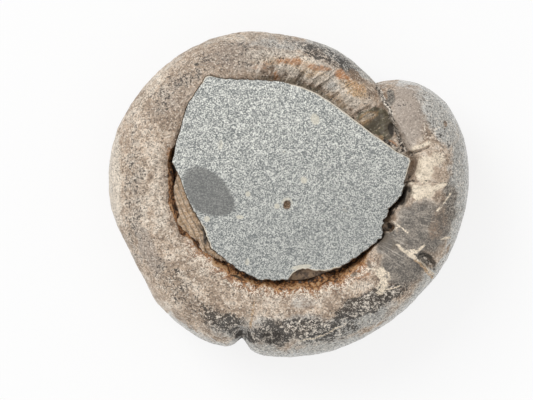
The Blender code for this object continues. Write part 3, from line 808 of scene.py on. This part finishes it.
def makePlug():
    # Polar rows about the pit: pit, flat top, bevelled edge, the layer below the chip, side and foot
    angle = np.linspace(-180.0, 180.0, plug["columns"], endpoint=False)
    turned = np.radians(angle)
    x, y = plug["pitCentre"]
    edge = outlineRadius(plugOutline, angle, plug["pitCentre"])
    below = outlineRadius(shelfOutline, angle, plug["pitCentre"])
    back, clean = raggedness(x + edge * np.cos(turned), y + edge * np.sin(turned))
    edge = edge - back
    below = np.maximum(below - 0.25 - 0.5 * back * (below > edge + 0.4), edge)
    chipped = ease(0.2, 0.7, below - edge)

    rows = []
    pitTop = plug["topZ"]
    for share in (0.35, 0.7, 0.9, 1.0, 1.12):
        bowl = plug["pitDepth"] * (1 - share**4 / 1.12**4)
        rows.append((plug["pitRadius"] * share * (1 - 0.12 * np.cos(2 * turned + 0.3)), pitTop - bowl))
    start = rows[-1][0]
    for share in np.linspace(0.0, 1.0, plug["topRows"])[1:]:
        rows.append((start + (edge - plug["bevel"] - start) * share, pitTop))
    rows.append((edge - 0.3 * plug["bevel"], pitTop - 0.3 * plug["bevel"]))
    rows.append((edge, pitTop - plug["bevel"]))
    shelfZ = pitTop - plug["bevel"] * 2 - (plug["shelfDrop"] - plug["bevel"]) * chipped
    rows.append((edge + 0.03 * chipped, shelfZ))
    rows.append((edge + 0.5 * (below - edge), shelfZ - 0.1))
    rows.append((below, shelfZ - plug["bevel"]))
    foot = coil["floorZ"] + coil["gap"]
    for share in np.linspace(0.0, 1.0, plug["sideRows"])[1:]:
        rows.append((below, shelfZ - plug["bevel"] + (foot - shelfZ + plug["bevel"]) * share))
    radius = np.stack([r + 0 * angle for r, _ in rows])
    z = np.stack([level + 0 * angle for _, level in rows])
    points = np.stack([x + radius * np.cos(turned), y + radius * np.sin(turned), z], axis=-1)

    normal = gridNormals(points)
    flat = normal[..., 2] > 0.8
    relief = 0.05 * noise(points, 9.0, 62, 2) + 0.022 * noise(points, 0.9, 63, 2)
    inward = np.where(flat, relief, -np.abs(0.12 * noise(points, 1.6, 64, 2)))
    points = points + normal * inward[..., None]
    points[-1, :, 2] = foot

    column, row = photoPixel(points)
    layers = {}
    for layer, places in plugMarks.items():
        layers[layer] = allBlots(column, row, places) * flat
    layers["oval"] = layers["oval"] * ease(230, 204, row)
    layers["shade"] = ease(-60, 120, (row - 160) + 0.3 * (column - 240))  # darker towards the lower right
    fromEdge = edge - radius
    # Painted highlight: a pale line along the top's bevelled edge, strongest along its clean sides
    palest = clean * ease(130, 122, angle)
    palest = np.maximum(palest, ease(-92, -86, angle) * ease(-44, -52, angle))
    palest = np.maximum(palest, 0.8 * ease(-146, -152, angle) * ease(-174, -164, angle))
    layers["rim"] = ease(0.75, 0.2, fromEdge) * (z > pitTop - 0.5) * (0.2 + 0.8 * palest)
    layers["side"] = np.maximum(1 - ease(0.45, 0.8, normal[..., 2]), z < pitTop - 1.0)
    layers["pit"] = ease(1.05, 0.75, radius / plug["pitRadius"])

    top = (x, y, pitTop - plug["pitDepth"])
    piece = closedMesh("rock_plug", points, top, (x, y, foot), layers)
    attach(piece, "root")
    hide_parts("matrix_plate")
    return piece


# Materials

def colourOf(hexCode):
    # An sRGB hex colour as linear red, green, blue and alpha
    parts = [int(hexCode[i:i + 2], 16) / 255 for i in (1, 3, 5)]
    return tuple(c / 12.92 if c <= 0.04045 else ((c + 0.055) / 1.055) ** 2.4 for c in parts) + (1.0,)


nodeKinds = {  # Blender's node, its settings, the inputs that are given in turn and the output that is used
    "shader": ("BsdfPrincipled", {}, (), "BSDF"),
    "surface": ("OutputMaterial", {}, ("Surface",), None),
    "place": ("TexCoord", {}, (), "Object"),
    "layer": ("Attribute", {}, (), "Fac"),
    "plus": ("Math", {"operation": "ADD"}, (0, 1), 0),
    "minus": ("Math", {"operation": "SUBTRACT"}, (0, 1), 0),
    "times": ("Math", {"operation": "MULTIPLY"}, (0, 1), 0),
    "timesPlus": ("Math", {"operation": "MULTIPLY_ADD"}, (0, 1, 2), 0),
    "atMost": ("Math", {"operation": "MINIMUM"}, (0, 1), 0),
    "size": ("Math", {"operation": "ABSOLUTE"}, (0,), 0),
    "noise": ("TexNoise", {}, ("Vector", "Scale", "Detail", "Roughness"), "Fac"),
    "waves": ("TexNoise", {}, ("Vector", "Scale", "Detail", "Distortion"), "Fac"),
    "cells": ("TexVoronoi", {}, ("Vector", "Scale"), "Color"),
    "red": ("SeparateColor", {}, ("Color",), 0),
    "between": ("MapRange", {"interpolation_type": "SMOOTHSTEP"}, ("Value", "From Min", "From Max"), 0),
    "fromTo": ("MapRange", {}, ("Value", "To Min", "To Max"), 0),
    "ramp": ("ValToRGB", {}, ("Fac",), "Color"),
    "mix": ("Mix", {"data_type": "RGBA"}, (0, 6, 7), 2),
    "point": ("CombineXYZ", {}, ("X", "Y"), 0),
    "stretch": ("VectorMath", {"operation": "MULTIPLY"}, (0, 1), 0),
    "gain": ("VectorMath", {"operation": "SCALE"}, (0, "Scale"), 0),
    "bump": ("Bump", {}, ("Height", "Strength", "Distance"), "Normal"),
}


class Shading:
    # A material as it is built: its nodes, its shader and the colour painted so far

    def __init__(self, name):
        self.material = bpy.data.materials.new(name)
        self.material.use_nodes = True
        self.tree = self.material.node_tree
        self.tree.nodes.clear()
        shader = self.add("shader")
        self.shader = shader.node
        self.add("surface", shader)
        self.colour = None

    def fill(self, socket, value):
        # Sets an input to a value or links it to an output
        if isinstance(value, bpy.types.NodeSocket):
            self.tree.links.new(value, socket)
        else:
            socket.default_value = value

    def add(self, kind, *values, **settings):
        # A node of this kind with its settings, its values and its links; gives the output that is used
        blenderKind, usual, inputs, output = nodeKinds[kind]
        node = self.tree.nodes.new("ShaderNode" + blenderKind)
        for name, value in {**usual, **settings}.items():
            setattr(node, name, value)
        for name, value in zip(inputs, values):
            self.fill(node.inputs[name], value)
        return node if output is None else node.outputs[output]

    def paint(self, shown, colour):
        # Lays a colour over what is painted so far
        self.colour = self.add("mix", shown, self.colour, colour)

    def shown(self, layer, ragged, low, high, strength):
        # Where a stain shows: its layer, roughened by noise, between two thresholds
        level = self.add("plus", self.add("layer", attribute_name=layer), ragged)
        return self.add("times", self.add("between", level, low, high), strength)

    def finish(self, roughness, height, strength):
        normal = self.add("bump", height, strength, 0.1 * mm)
        for name, value in (("Base Color", self.colour), ("Roughness", roughness), ("Normal", normal)):
            self.fill(self.shader.inputs[name], value)
        return self.material


def setStops(ramp, first, last, *others):
    # Gives a colour ramp its stops, each a position and a colour
    elements = ramp.node.color_ramp.elements
    for stop, (position, colour) in zip(elements, (first, last)):
        stop.position, stop.color = position, colour
    for position, colour in others:
        elements.new(position).color = colour
    return ramp


def fossilLimestone():
    # Fossil limestone, worn by water: matt and speckled, with iron, clay and calcite stains
    stone = Shading("worn_fossil_limestone")
    add, paint, shown = stone.add, stone.paint, stone.shown
    look = {
        "buffBrown": "#9a8775", "buff": "#bda995", "buffPale": "#d6c7b6", "pale": "#d9cdbd", "taupe": "#a1958a",
        "grey": "#bab9b4", "tan": "#c4a37c", "orange": "#a66f3e", "brown": "#86705c", "dark": "#948b80",
        "darkShell": "#5c5751", "cream": "#e3d4be", "green": "#6c6853", "rust": "#6b4629",
        "rustPale": "#b27a48", "black": "#2c2620", "dirtAndShade": "#8a7b6b", "grooveShade": "#5a5043", "rimSheen": "#cfcfcc",
        "speckDark": "#2f2a26", "paleGrain": "#ece1d2", "darkGrain": "#5f554b", "suture": "#6b4529",
        "sutureCream": "#f0e4d2",
    }
    hue = {name: colourOf(code) for name, code in look.items()}
    place = add("place")
    noises = (2.4, 4, 0.65), (8, 3, 0.6), (0.36, 3, 0.7), (0.8, 3, 0.65)  # lumps in mm, detail, roughness
    mottle, patches, fine, coarse = [add("noise", place, 1 / (s * mm), d, r) for s, d, r in noises]
    cells = add("red", add("cells", place, 1 / (0.33 * mm)))  # one random value for each grain, 0.33 mm wide
    away = [add("minus", value, 0.5) for value in (mottle, fine, coarse, cells)]
    mottleAway, fineAway, coarseAway, cellAway = away
    ragged = add("timesPlus", mottleAway, 0.9, add("times", fineAway, 0.8))

    # Ground colour: brown, buff and pale mottles
    position = add("timesPlus", mottleAway, 1.6, patches)
    stops = (0.3, hue["buffBrown"]), (0.72, hue["buffPale"]), (0.5, hue["buff"])
    stone.colour = setStops(add("ramp", position), *stops)

    stains = {  # layer: where it begins and is full, and how strong it is, from the lowest up
        "pale": (0.15, 0.9, 0.9), "taupe": (0.15, 0.9, 0.85), "grey": (0.15, 0.85, 0.9),
        "rimSheen": (0.1, 0.9, 0.9), "dark": (0.2, 0.75, 1.0), "green": (0.3, 0.8, 0.9), "tan": (0.2, 0.9, 0.9),
        "brown": (0.2, 0.8, 0.9), "dirtAndShade": (0.2, 0.9, 0.8), "cream": (0.3, 0.7, 1.0),
        "orange": (0.1, 1.1, 0.95),
    }
    soft = add("times", ragged, 0.5)
    hue["dark"] = add("mix", add("between", ragged, -0.14, 0.16), hue["darkShell"], hue["dark"])
    for name, (low, high, strength) in stains.items():
        edge = soft if name == "cream" else ragged
        paint(shown(name, edge, low, high, strength), hue[name])

    # Wavy sutures by the lip, in coordinates that run along the whorl
    unrolled = add("point", add("layer", attribute_name="around"), add("layer", attribute_name="beyond"))
    for name, size, level in (("suture", 1.1, 0.46), ("sutureCream", 1.3, 0.55)):
        waves = add("waves", unrolled, 1 / size, 2.0, 1.5)
        fromLevel = add("size", add("minus", waves, level))
        line = add("times", add("between", fromLevel, 0.07, 0.03), add("layer", attribute_name="sutures"))
        paint(add("times", line, 0.85), hue[name])

    # Fine streaks across the whorl: pale ones in patches of the smooth grey shell, and between the ribs of the
    # wall pale streaks and dark streaks of painted shade
    streaks = add("noise", add("stretch", unrolled, (2.2, 0.16, 1.0)), 1.0, 3.0)
    streak = add("times", add("between", streaks, 0.51, 0.68), add("layer", attribute_name="dark"))
    streak = add("times", streak, add("between", patches, 0.42, 0.6))
    paint(add("times", streak, 0.36), hue["paleGrain"])
    for name, low, high, strength in (("paleGrain", 0.52, 0.64, 0.5), ("grooveShade", 0.45, 0.35, 0.35)):
        rib = add("times", add("between", streaks, low, high), add("layer", attribute_name="ribbed"))
        paint(add("times", rib, strength), hue[name])

    # Dark speckle, then grain: a gain on the colour, weaker where the shell is worn smooth
    clusters = add("timesPlus", mottleAway, 1.7, add("times", coarseAway, 2.9))
    clusters = add("timesPlus", fineAway, 2.9, clusters)
    speck = shown("speck", clusters, 0.58, 0.82, 0.92)
    paint(speck, hue["speckDark"])
    level = add("atMost", add("layer", attribute_name="speck"), 1.1)
    betweenSpecks = add("minus", level, add("times", clusters, 1.3))
    paint(add("between", betweenSpecks, 1.15, 1.55), hue["paleGrain"])
    smooth = add("layer", attribute_name="smooth")
    contrast = add("fromTo", smooth, 1.0, 0.42)
    tone = add("timesPlus", fineAway, 2.4, add("times", cellAway, 0.7))
    tone = add("timesPlus", coarseAway, 1.1, tone)
    gain = add("timesPlus", tone, contrast, 1.0)
    stone.colour = add("gain", stone.colour, gain)
    salt = add("times", add("between", cells, 0.82, 0.97), contrast)
    salt = add("times", salt, add("timesPlus", speck, -0.7, 1.0))
    onPale = add("timesPlus", add("layer", attribute_name="dark"), -0.45, 0.6)
    paint(add("times", salt, onPale), hue["paleGrain"])
    pepper = add("times", add("between", cells, 0.16, 0.02), contrast)
    paint(add("times", pepper, 0.5), hue["darkGrain"])

    # Painted shade in grooves and recesses, iron stain that turns black deep in the crack as painted shade,
    # crust, and black that is mostly painted shade in holes and recesses
    paint(shown("grooveShade", ragged, 0.3, 0.9, 0.75), hue["grooveShade"])
    flakes = add("timesPlus", coarseAway, 3.6, add("times", fineAway, 1.8))
    flakes = add("timesPlus", mottleAway, 1.8, flakes)
    lit = add("timesPlus", add("layer", attribute_name="lit"), 0.55, add("plus", flakes, 0.24))
    stops = (0.1, hue["black"]), (1.0, hue["tan"]), (0.38, hue["rust"]), (0.7, hue["rustPale"])
    shadedIron = setStops(add("ramp", lit), *stops)
    paint(shown("rust", ragged, 0.3, 0.75, 0.95), shadedIron)
    flecks = add("timesPlus", coarse, 0.6, add("times", fine, 0.4))
    crust = add("mix", add("between", flecks, 0.45, 0.58), hue["speckDark"], hue["paleGrain"])
    paint(shown("crust", ragged, 0.25, 0.6, 0.95), crust)
    paint(shown("black", ragged, 0.4, 0.85, 0.9), hue["black"])
    return stone.finish(add("fromTo", smooth, 0.78, 0.5), tone, contrast)


def greySandstone():
    # Fine grey sandstone, split flat: quartz grains pale, rock grains dark, 0.25 to 0.5 mm across
    stone = Shading("split_grey_sandstone")
    add, paint, shown = stone.add, stone.paint, stone.shown
    look = {
        "darkGrain": "#6f7373", "ground": "#abaca8", "paleGrain": "#ecece4", "oval": "#656563",
        "cream": "#d6d0bf", "rim": "#d8cfbd", "side": "#8d745a", "sideDark": "#4e3b2b", "pit": "#b39a80",
    }
    hue = {name: colourOf(code) for name, code in look.items()}
    place = add("place")
    cells = add("red", add("cells", place, 1 / (0.26 * mm)))  # one random value for each grain, 0.26 mm wide
    noises = (0.27, 2, 0.7), (1.6, 4, 0.6), (1.1, 3, 0.6)  # lumps in mm, detail, roughness
    fine, broad, edges = [add("noise", place, 1 / (s * mm), d, r) for s, d, r in noises]
    ragged = add("times", add("minus", edges, 0.5), 0.6)

    # Grain by grain from dark through grey to pale; more pale grains in some patches
    grain = add("timesPlus", broad, 0.45, add("timesPlus", fine, 1.6, add("times", cells, 0.5)))
    stops = (0.15, hue["darkGrain"]), (0.85, hue["paleGrain"]), (0.48, hue["ground"])
    stone.colour = setStops(add("ramp", add("between", grain, 0.88, 1.72)), *stops)
    paint(add("times", add("layer", attribute_name="shade"), 0.32), hue["darkGrain"])
    paint(shown("oval", add("times", ragged, 0.35), 0.35, 0.65, 0.74), hue["oval"])
    # The rim is a painted highlight along the top's bevelled edge
    stains = {
        "cream": (0.35, 0.7, 0.7), "rim": (0.4, 0.8, 0.8), "side": (0.3, 0.7, 0.9), "pit": (0.4, 0.7, 1.0),
    }
    hue["side"] = add("mix", add("between", edges, 0.38, 0.6), hue["sideDark"], hue["side"])
    hue["pit"] = add("mix", add("between", fine, 0.4, 0.65), hue["sideDark"], hue["pit"])
    for name, (low, high, strength) in stains.items():
        paint(shown(name, ragged, low, high, strength), hue[name])
    return stone.finish(0.85, grain, 0.5)


# A pale table that glows a little, so that shadows on it stay faint, a white surround and a large soft lamp
white = (1.0, 1.0, 1.0, 1.0)
studio = {
    "tableReach": 6.0,
    "tableColour": "#767676",
    "tableGlow": 0.775,
    "surround": 0.78,
    "lampPower": 30.0,
    "lampSize": 1.4,
    "lampAt": (-1.3, 1.2, 2.0),
}


def makeTable():
    mesh = bpy.data.meshes.new("table")
    reach = studio["tableReach"]
    corners = [(-reach, -reach, 0), (reach, -reach, 0), (reach, reach, 0), (-reach, reach, 0)]
    mesh.from_pydata(corners, [], [(0, 1, 2, 3)])
    pale = Shading("pale_table")
    looks = {
        "Base Color": colourOf(studio["tableColour"]),
        "Roughness": 0.9,
        "Emission Color": white,
        "Emission Strength": studio["tableGlow"],
    }
    for name, value in looks.items():
        pale.shader.inputs[name].default_value = value
    mesh.materials.append(pale.material)
    addObject("table", mesh)


def makeStudio():
    world = bpy.data.worlds.new("studio")
    world.use_nodes = True
    background = world.node_tree.nodes["Background"]
    background.inputs["Color"].default_value = white
    background.inputs["Strength"].default_value = studio["surround"]
    bpy.context.scene.world = world
    light = bpy.data.lights.new("soft_lamp", "AREA")
    light.energy = studio["lampPower"]
    light.size = studio["lampSize"]
    lamp = addObject("soft_lamp", light)
    lamp.location = studio["lampAt"]
    lamp.rotation_euler = (-lamp.location).to_track_quat("-Z", "Y").to_euler()
    bpy.context.scene.view_settings.view_transform = "Standard"


def makeCamera():
    lens = bpy.data.cameras.new("camera")
    across = camera["imageWidth"] * camera["mmPerPixel"]
    lens.sensor_width = camera["sensorWidth"]
    lens.lens = camera["sensorWidth"] * (camera["height"] - camera["rimLevel"]) / across
    lens.clip_start, lens.clip_end = 0.01, 20.0
    holder = addObject("camera", lens)
    holder.location = (camera["over"][0] * mm, camera["over"][1] * mm, camera["height"] * mm)
    bpy.context.scene.camera = holder


print("studio")
makeTable()
makeStudio()
makeCamera()
print("coil")
makeCoil().data.materials.append(fossilLimestone())
print("plug")
makePlug().data.materials.append(greySandstone())
